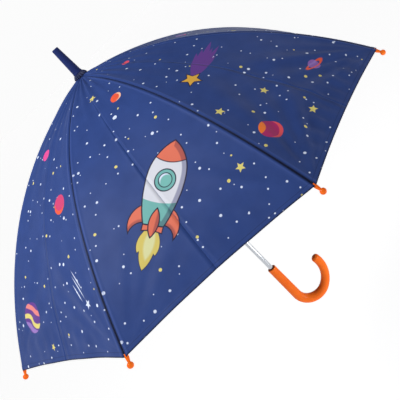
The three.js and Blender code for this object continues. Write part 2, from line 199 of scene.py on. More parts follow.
def corner_folds(s, t, phase):
    """Tension folds that fan out from the panel's two lower corners."""
    total = 0
    for side in (-1, 1):
        inward = np.maximum(TIP_OFFSET + side * s, 0)
        upward = np.maximum(TIP_LENGTH - t, 0)
        reach = np.hypot(inward, upward)
        turn = np.arctan2(inward, upward) / (math.pi / 2)
        fan = np.cos(2 * math.pi * (2.6 * turn + 0.17 * side + 0.11 * math.sin(phase)))
        narrow = np.cos(2 * math.pi * (6.5 * turn + 0.3 * side + 0.2 * math.cos(phase)) + reach / 60)
        edges = np.clip(np.sin(math.pi * np.clip((turn - 0.08) / 0.86, 0, 1)), 0, 1)
        total = total + 1.8 * fan * edges * (reach / 65) * np.exp(1 - reach / 65)
        total = total + 1.5 * narrow * edges * (reach / 75) ** 2 * np.exp(2 - reach / 37)
    return total


def relief(panel, s, t, seam, hem):
    """Height of the cloth over the plain surface, all in millimetres.
    s is the offset from the panel's middle and t the length from the crown.
    seam and hem are the distances to those."""
    phase = 2.4 * panel
    width = np.maximum(seam + np.abs(s), 1e-3)
    share = s / width
    free = 1 - share**2
    groove = -1.5 * bell(seam, 1.9) + 0.55 * bell(seam - 4.0, 1.5)
    groove = groove * np.clip(t / 40, 0, 1)
    crease = 0.55 * np.exp(-np.abs(s) / 1.3) * np.clip(t / 60, 0, 1)
    quarter = 0.25 * np.exp(-np.abs(np.abs(share) - 0.52) * width / 1.2) * np.clip(t / 60, 0, 1)
    quarter = quarter * np.clip((260 - t) / 120, 0, 1)
    pleats = 0.85 * np.cos(math.pi * (5 * share + 0.4 * math.sin(phase)))
    pleats = pleats * free * (t / 45) * np.exp(1 - t / 45)
    waves = 0.9 * np.cos(math.pi * 3.2 * share + phase) * np.exp(-hem / 45)
    waves = waves + 0.55 * np.sin(s / 17 + t / 41 + phase) * np.sin(t / 29 - s / 60)
    waves = waves + 0.7 * np.sin(s / 31 - t / 55 + 2 * phase) * np.clip(t / 120, 0, 1)
    step = 0.35 * (0.5 - 0.5 * np.tanh((hem - HEM_BAND) / 0.5))
    ruffle = 0.8 * np.cos(2 * math.pi * (s / 23 + 0.35 * np.sin(s / 37)))
    ruffle = ruffle * bell(hem - 24, 17)
    folds = (corner_folds(s, t, phase) + ruffle) * FOLD_STRENGTH[panel - 1]
    return groove + crease + quarter + pleats + free * (waves + folds) + step


# -------- the shut umbrella's shape
LAYER = 1.5 * MM  # thickness of one rolled flap, two plies
SHUT_LIFT = 1.6 * MM  # cloth over the rib's axis when shut
CROWN_HOLD = 0.030  # the cloth this near the crown hardly moves


def turn_about_hinge(x, z, angle):
    hinge_x, hinge_z = RIB_HINGE
    cos, sin = math.cos(angle), math.sin(angle)
    dx, dz = x - hinge_x, z - hinge_z
    return hinge_x + dx * cos + dz * sin, hinge_z - dx * sin + dz * cos


def shut_line(r):
    """Radius and height that the seam over a rib has when the umbrella is shut."""
    x, z = turn_about_hinge(r, dome_z(r), RIB_TURN)
    hold = np.clip((r - CANOPY_HOLE) / CROWN_HOLD, 0, 1)
    hold = hold * hold * (3 - 2 * hold)
    return CANOPY_HOLE + (x - CANOPY_HOLE) * hold, CROWN_Z + (z - CROWN_Z) * hold


def shut_surface(r, side):
    """Where the cloth beside a rib at azimuth 0 lies when shut, in the rib's own frame at rest.
    Each panel is a flap of two plies, rolled counter-clockwise over the ribs that follow it."""
    share = np.abs(side)
    radius, height = shut_line(r * (1 - 0.06 * share**2))
    core = radius + SHUT_LIFT
    reach = r * HALF_SIN / core
    turn = np.where(side > 0, share * reach, share * (reach - STEP))
    climb = np.where(side > 0, turn, turn + share * STEP)
    radius = core + LAYER / STEP * climb
    x, z = turn_about_hinge(radius * np.cos(turn), height, -RIB_TURN)
    return np.stack([x, radius * np.sin(turn), z], axis=-1)


# -------- mesh helpers
def turned_about_z(points, angle):
    cos, sin = math.cos(angle), math.sin(angle)
    x, y, z = points[..., 0], points[..., 1], points[..., 2]
    return np.stack([x * cos - y * sin, x * sin + y * cos, z], axis=-1)


def new_piece(name, points, faces, *materials):
    mesh = bpy.data.meshes.new(name)
    mesh.from_pydata(points.reshape(-1, 3).tolist(), [], faces)
    mesh.shade_smooth()
    for material in materials:
        mesh.materials.append(material)
    piece = bpy.data.objects.new(name, mesh)
    bpy.context.scene.collection.objects.link(piece)
    return piece


def grid_faces(rows, columns, loop=False):
    """Quads of a grid of rows x columns points, closed round the columns if loop is set."""
    faces = []
    for row in range(rows - 1):
        here = row * columns
        below = here + columns
        for column in range(columns if loop else columns - 1):
            after = (column + 1) % columns
            faces.append((here + column, below + column, below + after, here + after))
    return faces


def set_point_attribute(mesh, name, kind, values):
    attribute = mesh.attributes.new(name, kind, "POINT")
    field = "vector" if kind == "FLOAT_VECTOR" else "value"
    attribute.data.foreach_set(field, np.ascontiguousarray(values, dtype=np.float32).ravel())


def lathe(name, profile, material, segments, ripple=None):
    """A turned piece from (radius, height) points. ripple(angles, index) scales a point's radius."""
    angles = np.arange(segments) * 2 * math.pi / segments
    rows = []
    for index, (radius, height) in enumerate(profile):
        scale = ripple(angles, index) if ripple else np.ones(segments)
        rows.append(np.stack([
            radius * scale * np.cos(angles),
            radius * scale * np.sin(angles),
            np.full(segments, height),
        ], axis=-1))
    faces = grid_faces(len(profile), segments, loop=True)
    return new_piece(name, np.array(rows), faces, material)


def rounded(points, radius, steps=4):
    """The outline through these (r, z) points with its inner corners rounded."""
    result = [points[0]]
    for before, corner, after in zip(points, points[1:], points[2:]):
        back = Vector(before) - Vector(corner)
        ahead = Vector(after) - Vector(corner)
        size = min(radius, back.length / 2.1, ahead.length / 2.1)
        start = Vector(corner) + back.normalized() * size
        end = Vector(corner) + ahead.normalized() * size
        for i in range(steps + 1):
            f = i / steps
            point = start * (1 - f) ** 2 + Vector(corner) * 2 * f * (1 - f) + end * f**2
            result.append(tuple(point))
    result.append(points[-1])
    return result


# -------- node helpers
def plug(tree, value, slot):
    """Joins a field or socket to a node's slot, or sets the slot to a plain value."""
    if isinstance(value, Field):
        value = value.socket
    if isinstance(value, bpy.types.NodeSocket):
        tree.links.new(value, slot)
    else:
        slot.default_value = value


def operation(name, *fixed):
    """A method of Field that works out one sum."""
    return lambda field, *others: field.math(name, *others, *fixed)


class Field:
    """A number that a material works out at each point of a surface, with ordinary arithmetic."""

    def __init__(self, tree, socket):
        self.tree = tree
        self.socket = socket

    def math(self, operation, *others, clamp=False):
        node = self.tree.nodes.new("ShaderNodeMath")
        node.operation = operation
        node.use_clamp = clamp
        for slot, value in zip(node.inputs, (self, *others)):
            plug(self.tree, value, slot)
        return Field(self.tree, node.outputs[0])

    __add__ = operation("ADD")
    __sub__ = operation("SUBTRACT")
    __mul__ = operation("MULTIPLY")
    __truediv__ = operation("DIVIDE")
    __neg__ = operation("MULTIPLY", -1.0)
    __abs__ = operation("ABSOLUTE")
    min = operation("MINIMUM")
    max = operation("MAXIMUM")
    root = operation("SQRT")

    def inside(self, soft=0.3):
        """1 where this signed distance is below 0, fading to 0 over a soft edge."""
        return self.math("MULTIPLY_ADD", -0.5 / soft, 0.5, clamp=True)

    def clamped(self):
        return self.math("ADD", 0.0, clamp=True)


def srgb(*channels):
    """A display colour of 0 to 255 as the linear colour that a shader takes."""
    shares = [channel / 255 for channel in channels]
    linear = [
        share / 12.92 if share <= 0.04045 else ((share + 0.055) / 1.055) ** 2.4
        for share in shares
    ]
    return (*linear, 1.0)


def new_material(name, settings):
    material = bpy.data.materials.new(name)
    material.use_nodes = True
    shader = material.node_tree.nodes["Principled BSDF"]
    for slot, value in settings.items():
        shader.inputs[slot].default_value = value
    return material, material.node_tree, shader


def noise(tree, scale, detail=2.0, vector=None):
    node = tree.nodes.new("ShaderNodeTexNoise")
    node.inputs["Scale"].default_value = scale
    node.inputs["Detail"].default_value = detail
    if vector is None:
        vector = tree.nodes.new("ShaderNodeTexCoord").outputs["Object"]
    tree.links.new(vector, node.inputs["Vector"])
    return Field(tree, node.outputs["Fac"])


def mix_colour(tree, below, above, share):
    node = tree.nodes.new("ShaderNodeMix")
    node.data_type = "RGBA"
    plug(tree, share, node.inputs[0])
    plug(tree, below, node.inputs[6])
    plug(tree, above, node.inputs[7])
    return node.outputs[2]


def add_bump(tree, shader, height, strength, distance):
    node = tree.nodes.new("ShaderNodeBump")
    node.inputs["Strength"].default_value = strength
    node.inputs["Distance"].default_value = distance
    plug(tree, height, node.inputs["Height"])
    tree.links.new(node.outputs["Normal"], shader.inputs["Normal"])


# -------- colours of the print
NAVY = srgb(47, 70, 131)
NAVY_DEEP = srgb(41, 62, 119)
# near-black navy, also used as the painted shade in the seams' grooves
NAVY_DARK = srgb(14, 18, 40)
# lighter navy, painted as highlights along the seams' ridges and the panels' middle creases
NAVY_HIGHLIGHT = srgb(70, 92, 158)
INK = srgb(34, 32, 58)
WHITE = srgb(214, 224, 246)
YELLOW = srgb(222, 208, 120)
CORAL = srgb(218, 112, 88)
CORAL_SHADE = srgb(170, 84, 76)
PALE = srgb(212, 214, 224)
PALE_SHADE = srgb(150, 152, 176)
TEAL = srgb(112, 176, 172)
TEAL_SHADE = srgb(84, 126, 132)
TEAL_LIGHT = srgb(116, 182, 176)
FLAME = srgb(208, 190, 100)
FLAME_LIGHT = srgb(214, 214, 160)
GOLD = srgb(224, 172, 70)
VIOLET = srgb(100, 62, 142)
VIOLET_LIGHT = srgb(140, 100, 176)
ORANGE_RED = srgb(232, 90, 62)
PINK = srgb(222, 76, 148)
MAGENTA = srgb(170, 46, 104)
MAGENTA_LIGHT = srgb(200, 66, 112)
LILAC = srgb(150, 118, 190)
ORANGE = srgb(240, 124, 52)
PEACH = srgb(244, 186, 156)
PINK_RED = srgb(222, 84, 92)
CORAL_LIGHT = srgb(226, 132, 130)


class Print:
    """The colour of one panel, painted in layers. s and t are millimetres across and down the panel."""

    def __init__(self, tree):
        self.tree = tree
        uv = tree.nodes.new("ShaderNodeUVMap")
        uv.uv_map = "panel_mm"
        split = tree.nodes.new("ShaderNodeSeparateXYZ")
        tree.links.new(uv.outputs["UV"], split.inputs[0])
        self.vector = uv.outputs["UV"]
        self.s = Field(tree, split.outputs["X"])
        self.t = Field(tree, split.outputs["Y"])
        self.colour = NAVY

    def paint(self, colour, share):
        self.colour = mix_colour(self.tree, self.colour, colour, share)

    def at(self, centre, angle=0.0):
        """Coordinates round a centre, with the first axis turned by angle degrees from s towards t."""
        cos, sin = math.cos(math.radians(angle)), math.sin(math.radians(angle))
        s = self.s - centre[0]
        t = self.t - centre[1]
        return s * cos + t * sin, t * cos - s * sin

    def outline(self, distance, width=1.4):
        self.paint(INK, (abs(distance) - width / 2).inside())


def circle(x, y, radius):
    return (x * x + y * y).root() - radius


def ellipse(x, y, long, short):
    """Roughly the distance to an ellipse, in millimetres near its edge."""
    return ((x * x / long**2 + y * y / short**2).root() - 1.0) * min(long, short)


def lens(x, y, half_length, half_width):
    """Distance to a pointed shape along x, bounded by two arcs."""
    radius = (half_length**2 + half_width**2) / (2 * half_width)
    return circle(x, abs(y) + (radius - half_width), radius)


def star(x, y, size):
    """Distance to a five-pointed star."""
    fifth = 2 * math.pi / 5
    angle = y.math("ARCTAN2", x)
    folded = abs(angle.math("WRAP", fifth / 2, -fifth / 2))
    reach = (x * x + y * y).root()
    along = folded.math("COSINE") * reach
    beside = folded.math("SINE") * reach
    inner = Vector((math.cos(fifth / 2), math.sin(fifth / 2))) * 0.47
    edge = inner - Vector((1, 0))
    normal = Vector((edge.y, -edge.x)).normalized()
    return along * normal.x + beside * normal.y - normal.x * size


def paint_star(art, centre, size, angle, colour=YELLOW):
    art.paint(colour, star(*art.at(centre, angle), size).inside())


def paint_dots(art, centres, radius=2.0, colour=YELLOW):
    for centre in centres:
        art.paint(colour, circle(*art.at(centre), radius).inside())


def paint_scatter(art, spacing, largest, share, colour, offset):
    """Dots of mixed sizes, scattered one to a cell; share is how many of the cells have one."""
    tree = art.tree
    shift = tree.nodes.new("ShaderNodeVectorMath")
    shift.operation = "ADD"
    shift.inputs[1].default_value = (offset, 0.6 * offset, 0)
    tree.links.new(art.vector, shift.inputs[0])
    cells = tree.nodes.new("ShaderNodeTexVoronoi")
    cells.voronoi_dimensions = "2D"
    cells.inputs["Scale"].default_value = 1 / spacing
    tree.links.new(shift.outputs[0], cells.inputs["Vector"])
    split = tree.nodes.new("ShaderNodeSeparateColor")
    tree.links.new(cells.outputs["Color"], split.inputs[0])
    chance = Field(tree, split.outputs[0])
    size = Field(tree, split.outputs[1])
    distance = Field(tree, cells.outputs["Distance"]) * spacing
    radius = size * size * (largest * 0.55) + largest * 0.45
    drawn = chance.math("LESS_THAN", share)
    art.paint(colour, (distance - radius).inside(0.35) * drawn)


def paint_planet(art, centre, radius, angle, body, bands=(), ring=None, rim=None, caps=()):
    """A round planet. bands are (middle, half width, colour, wave) across it; rim is a lit crescent.
    caps are (a circle's middle, its radius, colour), outside the circle if its radius is negative."""
    x, y = art.at(centre, angle)
    edge = circle(x, y, radius)
    cover = edge.inside()
    art.paint(body, cover)
    for middle, half, colour, wave in bands:
        line = y - middle * radius - (x * (3.2 / radius)).math("SINE") * (wave * radius)
        art.paint(colour, (abs(line) - half * radius).inside(0.4) * cover)
    for middle, size, colour in caps:
        cap = circle(x, y - middle * radius, abs(size) * radius)
        art.paint(colour, cover * (cap if size > 0 else -cap).inside())
    if rim:
        lit = circle(x + 0.3 * radius, y + 0.3 * radius, 1.05 * radius)
        art.paint(rim, cover * (-lit).inside())
    if ring:
        hoop = abs(ellipse(x, y, 1.7 * radius, 0.45 * radius)) - 0.09 * radius
        behind = edge.max(y).inside()
        art.paint(ring, hoop.inside() * (behind * -1.0 + 1.0))


# The rocket's own axes: up towards its nose, and out to its right.
ROCKET_WINDOW = (16.0, 301.5)
ROCKET_TURN = -38.6
NOSE = 48.0
WIDEST = 5.0  # where the hull is widest, above the window
HULL_HALF = 24.6
HULL_LENGTH = 58.0  # from the widest place down to the tail
TAIL_HALF = 12.5
CAP_FOOT = 21.5  # where the nose's red starts
BELLY_TOP = -27.0  # where the teal ends
PORTHOLE_R = 13.0
GLASS_R = 8.4


def hull_edge(up, out):
    """Distance to the hull, an ogive above its widest place and a slow taper below it."""
    rise = NOSE - WIDEST
    nose_radius = (rise**2 + HULL_HALF**2) / (2 * HULL_HALF)
    narrowing = HULL_HALF - TAIL_HALF
    side_radius = (HULL_LENGTH**2 + narrowing**2) / (2 * narrowing)
    height = up - WIDEST
    nose = circle(height, out + (nose_radius - HULL_HALF), nose_radius)
    side = circle(height, out + (side_radius - HULL_HALF), side_radius)
    above = height.math("GREATER_THAN", 0.0)
    tail = -(height + HULL_LENGTH)
    return (nose * above + side * (above * -1.0 + 1.0)).max(tail)


def paint_flame(art, up, right):
    out = abs(right)
    core = lens(up + 79.0, right, 24.5, 9.0)
    tongues = lens(up + 70.0, out - 6.8 + (up + 70.0) * 0.26, 15.5, 6.4)
    flame = core.min(tongues).max(up + 57.0)
    art.paint(FLAME, flame.inside())
    art.paint(FLAME_LIGHT, lens(up + 73.0, right - 1.0, 19.0, 6.0).inside(1.2))
    art.outline(flame, 0.7)


def paint_fins(art, up, right):
    out = abs(right)
    outer = circle(up + 52.7, out - 8.2, 23.4)
    inner = circle(up + 67.5, out - 11.5, 16.4)
    fin = outer.max(-inner).max(-(out - 9.0))
    art.paint(CORAL, fin.inside())
    art.paint(CORAL_SHADE, (inner - 3.6).inside(1.0) * fin.inside())
    art.outline(fin)


def paint_rocket(art):
    up, right = art.at(ROCKET_WINDOW, ROCKET_TURN)
    out = abs(right)
    paint_flame(art, up, right)
    nozzle = (out - 12.5).max(up + 52.0).max(-(up + 58.5 + out * 0.16))
    art.paint(CORAL, nozzle.inside())
    art.outline(nozzle)
    paint_fins(art, up, right)
    hull = hull_edge(up, out)
    cover = hull.inside()
    bow = right * right
    shade = (-(hull + 6.2)).inside(0.7) * right.math("GREATER_THAN", 0.0)
    belly = (up - BELLY_TOP - bow * 0.006).inside()
    cap_line = up - CAP_FOOT - bow * 0.012
    cap = (-cap_line).inside()
    for colour, shaded, area in (
        (PALE, PALE_SHADE, cover), (TEAL, TEAL_SHADE, cover * belly), (CORAL, CORAL_SHADE, cover * cap),
    ):
        art.paint(colour, area)
        art.paint(shaded, area * shade)
    art.paint(INK, cover * (abs(cap_line) - 0.6).inside())
    art.outline(hull, 1.6)
    porthole = circle(up, right, PORTHOLE_R)
    art.paint(TEAL, porthole.inside())
    art.outline(porthole)
    glass = circle(up, right, GLASS_R)
    art.paint(TEAL_LIGHT, glass.inside())
    gleam = circle(up - 1.4, right + 1.2, 6.6).max(-circle(up + 1.0, right - 1.8, 7.6))
    art.paint(WHITE, gleam.inside(0.8))
    art.outline(glass, 1.1)
    middle_fin = lens(up + 50.0, right, 17.0, 6.0)
    art.paint(CORAL, middle_fin.inside())
    art.paint(CORAL_SHADE, middle_fin.inside() * (-(right - 1.6)).inside(0.8))
    art.outline(middle_fin)


def paint_comet(art, head, angle):
    """A star with a tail of pointed streaks that spread out behind it."""
    streaks = ((-11, 62, 4.5), (-5, 70, 5.0), (1, 88, 5.0), (6, 74, 4.5), (11, 80, 4.0), (17, 58, 4.0))
    for lean, length, half_width in streaks:
        along, beside = art.at(head, angle + lean)
        streak = lens(along - length / 2, beside, length / 2, half_width)
        wedge = (abs(beside) - along * 0.12).max(along - length * 0.62)
        art.paint(VIOLET, streak.min(wedge).inside())
    distance = star(*art.at(head, angle + 100), 13.5)
    art.paint(INK, (distance - 1.2).inside())
    art.paint(GOLD, distance.inside())


def rocket_panel(art):
    paint_planet(art, (28, 144), 8.0, -30, ORANGE_RED, rim=PEACH)
    paint_dots(art, [(12.7, 174.5)], 3.0, WHITE)
    paint_dots(art, [(69, 357), (52, 225), (-48, 380), (-20, 240)])
    paint_star(art, (1, 105), 6.0, 20)
    paint_star(art, (88, 354), 6.0, -15)
    paint_rocket(art)


def comet_panel(art):
    paint_planet(art, (3, 96), 5.5, 20, PINK_RED, bands=((0.0, 0.12, PINK, 0.1),))
    paint_planet(art, (-80, 353), 14.5, -20, MAGENTA,
                 caps=((-1.25, 0.85, ORANGE), (-0.4, -1.1, PINK_RED)))
    paint_planet(art, (57, 360), 8.5, 18, VIOLET_LIGHT,
                 bands=((-0.4, 0.16, LILAC, 0.06),), ring=ORANGE_RED)
    paint_comet(art, (-33, 227), -11)
    for centre, size in (((-79, 288), 6.5), ((-19, 320), 6.0), ((-25, 386), 6.0)):
        paint_star(art, centre, size, 10 * size)
    centres = [(10, 276), (-63, 324), (29, 358), (41, 374), (-59, 388), (-108, 358), (0, 41)]
    paint_dots(art, centres, 2.1)


def planet_panel(art):
    paint_planet(art, (-12, 142), 8.5, 90, PINK)
    paint_planet(art, (43, 230), 12.8, 60, MAGENTA_LIGHT, rim=ORANGE_RED)
    paint_planet(art, (-64, 359), 20.5, 24, VIOLET, bands=(
        (-0.55, 0.17, CORAL_LIGHT, 0.05), (0.22, 0.16, YELLOW, 0.17), (0.75, 0.18, LILAC, 0.08),
    ))
    head = (86, 361)
    paint_star(art, head, 6.0, 30, WHITE)
    for offset, start, length in ((-6.5, 11, 26), (0.0, 9, 36), (4.5, 20, 30)):
        along, beside = art.at(head, -126)
        trail = lens(along - start - length / 2, beside - offset, length / 2, 0.8)
        art.paint(WHITE, trail.inside())
    paint_dots(art, [(-43, 175), (-18, 324), (20, 180), (5, 262), (60, 300)])
    paint_star(art, (-26, 402), 5.0, 12)


def far_panel(art):
    paint_planet(art, (-86, 318), 16, 25, ORANGE_RED,
                 bands=((-0.25, 0.14, GOLD, 0.06), (0.35, 0.2, MAGENTA, 0.08)))
    paint_planet(art, (-12, 345), 12, 0, PINK_RED, ring=LILAC)
    paint_planet(art, (22, 168), 8.5, 70, VIOLET_LIGHT, rim=PINK)
    paint_planet(art, (76, 372), 11, -30, TEAL, bands=((0.0, 0.2, TEAL_LIGHT, 0.1),))
    paint_star(art, (38, 262), 6.5, 15)
    paint_star(art, (-46, 240), 5.5, 50)
    paint_dots(art, [(-20, 205), (52, 318), (-66, 385), (10, 402), (8, 118)])


# -------- materials
THREAD_RATE = 9.0  # radians of the weave in each millimetre
STITCH_RATE = 2.2  # radians of a row of stitches in each millimetre
WELT_PLACE = 4.2  # the folded seam's ridge, where a highlight is painted, from the seam
HEM_EDGE = 1.3  # width of the hem's dark edge


def attribute(tree, name):
    node = tree.nodes.new("ShaderNodeAttribute")
    node.attribute_name = name
    return Field(tree, node.outputs["Fac"])


def stitches(distance, place, half_width, along):
    """A dashed line of thread at a place beside an edge."""
    dashes = (along * STITCH_RATE).math("SINE").math("GREATER_THAN", -0.3)
    return (abs(distance - place) - half_width).inside(0.2) * dashes


def weave_height(art, seam, hem):
    """Fine plain weave, plus stitches along the hem and beside the seams."""
    threads = (art.s * THREAD_RATE).math("SINE") * (art.t * THREAD_RATE).math("SINE")
    return threads * 0.25 + stitches(hem, 4.6, 0.35, art.s) + stitches(seam, 2.6, 0.3, art.t)


def cloth(name, design=None, seed=0.0):
    """Thin woven polyester with a satin sheen, navy, with a design printed on it if one is given. Shade
    is painted into its seam grooves, and highlights along the seams' ridges and the middle crease.
    """
    material, tree, shader = new_material(name, {
        "Roughness": 0.55,
        "Sheen Weight": 0.04,
        "Sheen Roughness": 0.35,
        "Sheen Tint": srgb(190, 205, 240),
        "Specular IOR Level": 0.13,
    })
    art = Print(tree)
    mottle = noise(tree, 0.035, 3.0, art.vector)
    art.paint(NAVY_DEEP, mottle.math("MULTIPLY_ADD", 1.6, -0.4, clamp=True))
    if design:
        paint_scatter(art, 29.0, 2.1, 0.85, WHITE, seed)
        paint_scatter(art, 31.0, 1.3, 0.7, WHITE, seed + 40)
        paint_scatter(art, 95.0, 2.1, 0.7, YELLOW, seed + 90)
        design(art)
    seam = attribute(tree, "seam_mm")
    hem = attribute(tree, "hem_mm")
    # painted highlight: a lighter line along the folded seam's ridge, where it catches the light
    art.paint(NAVY_HIGHLIGHT, (abs(seam - WELT_PLACE) - 0.8).inside(0.9) * 0.45)
    # painted shade: a dark band in the groove along each seam, widening down the panel
    seam_shade_width = (art.t * 0.0042 + 0.3).min(2.0)
    below_crown = ((art.t - 30.0) * 0.02).clamped()
    art.paint(NAVY_DARK, (seam - seam_shade_width).inside(0.9) * below_crown * 0.95)
    art.paint(NAVY_DARK, (hem - HEM_EDGE).inside(0.8) * 0.85)
    art.paint(NAVY_DARK, (abs(hem - HEM_BAND) - 0.3).inside(0.3) * 0.4)
    # painted highlight: a faint light line along the fold crease down the panel's middle
    art.paint(NAVY_HIGHLIGHT, (abs(art.s) - 0.35).inside(0.3) * 0.35)
    plug(tree, art.colour, shader.inputs["Base Color"])
    plug(tree, mottle * 0.12 + 0.44, shader.inputs["Roughness"])
    add_bump(tree, shader, weave_height(art, seam, hem), 0.35, 0.00012)
    return material


def narrow_cloth(name, colour, deep, thread_scale):
    """Navy cloth without a print, for the tie strap and the gathers at the crown."""
    material, tree, shader = new_material(
        name, {"Roughness": 0.55, "Sheen Weight": 0.15, "Specular IOR Level": 0.3}
    )
    mottle = noise(tree, 120.0, 3.0)
    plug(tree, mix_colour(tree, colour, deep, mottle), shader.inputs["Base Color"])
    plug(tree, mottle * 0.1 + 0.5, shader.inputs["Roughness"])
    add_bump(tree, shader, noise(tree, thread_scale, 1.0), 0.3, 0.00015)
    return material


def moulded_plastic(name, colour, deep, roughness, coat):
    """Moulded plastic with a faint flow mottle and fine pebbling."""
    material, tree, shader = new_material(name, {
        "Roughness": roughness,
        "Coat Weight": coat,
        "Coat Roughness": 0.12,
        "Specular IOR Level": 0.07,
    })
    mottle = noise(tree, 38.0, 3.0)
    share = mottle.math("MULTIPLY_ADD", 1.5, -0.5, clamp=True)
    plug(tree, mix_colour(tree, colour, deep, share), shader.inputs["Base Color"])
    plug(tree, noise(tree, 160.0) * 0.12 + (roughness - 0.06), shader.inputs["Roughness"])
    add_bump(tree, shader, noise(tree, 900.0, 1.0), 0.12, 0.0002)
    return material


def steel(name, colour, deep, roughness):
    """Drawn steel with fine lengthwise marks."""
    material, tree, shader = new_material(name, {"Roughness": roughness, "Metallic": 1.0})
    stretched = tree.nodes.new("ShaderNodeMapping")
    stretched.inputs["Scale"].default_value = (1.0, 1.0, 0.06)
    coordinates = tree.nodes.new("ShaderNodeTexCoord")
    tree.links.new(coordinates.outputs["Object"], stretched.inputs["Vector"])
    marks = noise(tree, 700.0, 3.0, stretched.outputs["Vector"])
    plug(tree, mix_colour(tree, colour, deep, marks), shader.inputs["Base Color"])
    plug(tree, marks * 0.16 + (roughness - 0.08), shader.inputs["Roughness"])
    add_bump(tree, shader, marks, 0.08, 0.0001)
    return material


DESIGNS = (planet_panel, rocket_panel, comet_panel, far_panel)
printed = [
    cloth(f"print_{number}", design, 17.0 * number)
    for number, design in enumerate(DESIGNS, 1)
]
plain_cloth = cloth("plain_navy_cloth")
webbing = narrow_cloth("navy_webbing", NAVY, NAVY_DEEP, 2600.0)
gathered_cloth = narrow_cloth("navy_gathered_cloth", srgb(30, 42, 88), srgb(18, 26, 58), 1500.0)
orange_plastic = moulded_plastic("orange_plastic", srgb(252, 116, 30), srgb(244, 100, 22), 0.3, 0.1)
navy_plastic = moulded_plastic("navy_plastic", srgb(34, 46, 100), srgb(26, 36, 82), 0.4, 0.0)
black_plastic = moulded_plastic("black_plastic", srgb(26, 27, 30), srgb(18, 19, 22), 0.5, 0.0)
chrome = steel("stick_chrome", srgb(206, 209, 214), srgb(170, 174, 180), 0.12)
frame_steel = steel("frame_steel", srgb(158, 161, 166), srgb(120, 124, 130), 0.34)


# -------- the canopy
ROWS = 110
COLUMNS = 34  # on each side of the seam
CLOTH_THICK = 0.35 * MM
SQUASH_KEEP = 0.15


def geometry_group(name):
    """A new group of geometry nodes, with its input and output nodes."""
    tree = bpy.data.node_groups.new(name, "GeometryNodeTree")
    for side in ("INPUT", "OUTPUT"):
        tree.interface.new_socket("Geometry", in_out=side, socket_type="NodeSocketGeometry")
    return tree, tree.nodes.new("NodeGroupInput"), tree.nodes.new("NodeGroupOutput")


def fold_group():
    """Geometry nodes that carry a squashed piece on to its shut shape.
    How far it is squashed comes from how far its points have moved, next to how far they can."""
    tree, start, end = geometry_group("fold_with_the_ribs")
    nodes, links = tree.nodes, tree.links

    def named(name, kind):
        node = nodes.new("GeometryNodeInputNamedAttribute")
        node.data_type = kind
        node.inputs["Name"].default_value = name
        return node.outputs["Attribute"]

    def mean(value):
        node = nodes.new("GeometryNodeAttributeStatistic")
        links.new(start.outputs[0], node.inputs["Geometry"])
        links.new(value, node.inputs["Attribute"])
        return node.outputs["Mean"]

    rest = named("rest", "FLOAT_VECTOR")
    shut = named("shut", "FLOAT_VECTOR")
    moved = nodes.new("ShaderNodeVectorMath")
    moved.operation = "DISTANCE"
    links.new(nodes.new("GeometryNodeInputPosition").outputs[0], moved.inputs[0])
    links.new(rest, moved.inputs[1])
    share = nodes.new("ShaderNodeMath")
    share.operation = "DIVIDE"
    share.use_clamp = True
    links.new(mean(moved.outputs["Value"]), share.inputs[0])
    links.new(mean(named("give", "FLOAT")), share.inputs[1])
    blend = nodes.new("ShaderNodeMix")
    blend.data_type = "VECTOR"
    links.new(share.outputs[0], blend.inputs[0])
    links.new(rest, blend.inputs[4])
    links.new(shut, blend.inputs[5])
    move = nodes.new("GeometryNodeSetPosition")
    links.new(start.outputs[0], move.inputs["Geometry"])
    links.new(blend.outputs[1], move.inputs["Position"])
    links.new(move.outputs[0], end.inputs[0])
    return tree


fold_nodes = fold_group()


def fold_with_rib(piece, k, shut_points, thickness=0, side=0):
    """The piece rides on rib k and takes its rolled shape as the umbrella shuts.
    The squash goes on last and moves the points, which tells the fold how far shut the ribs are.
    Its thickness is built up on one side, in the second half of its materials if it has several."""
    mesh = piece.data
    axis = (-math.sin(rib_angle(k)), math.cos(rib_angle(k)), 0)
    rest = np.array([vertex.co for vertex in mesh.vertices])
    set_point_attribute(mesh, "rest", "FLOAT_VECTOR", rest)
    set_point_attribute(mesh, "shut", "FLOAT_VECTOR", shut_points)
    set_point_attribute(mesh, "give", "FLOAT", np.abs(rest @ np.array(axis)) * (1 - SQUASH_KEEP))
    piece.modifiers.new("fold", "NODES").node_group = fold_nodes
    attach(piece, f"rib_{k}")
    if thickness:
        solid = piece.modifiers.new("cloth", "SOLIDIFY")
        solid.thickness = thickness
        solid.offset = side
        solid.material_offset = len(mesh.materials) // 2
    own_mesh(piece)


def canopy_grid():
    """Radius and side of each point of a sheet: closer columns at the seam, closer rows at the hem."""
    share = (np.arange(COLUMNS + 1) / COLUMNS) ** 1.6
    sides = np.concatenate([-share[:0:-1], share])
    near_hem = np.array([12, 9.5, 7.6, 6.6, 6.1, 5.6, 4.4, 2.8, 1.4, 0.6, 0]) * MM
    rows = []
    for side in sides:
        hem = hem_radius(side)
        plain = np.linspace(CANOPY_HOLE, hem - 1.4 * near_hem[0], ROWS)
        rows.append(np.concatenate([plain, hem - near_hem]))
    radius = np.array(rows).T
    return radius, np.broadcast_to(sides, radius.shape)


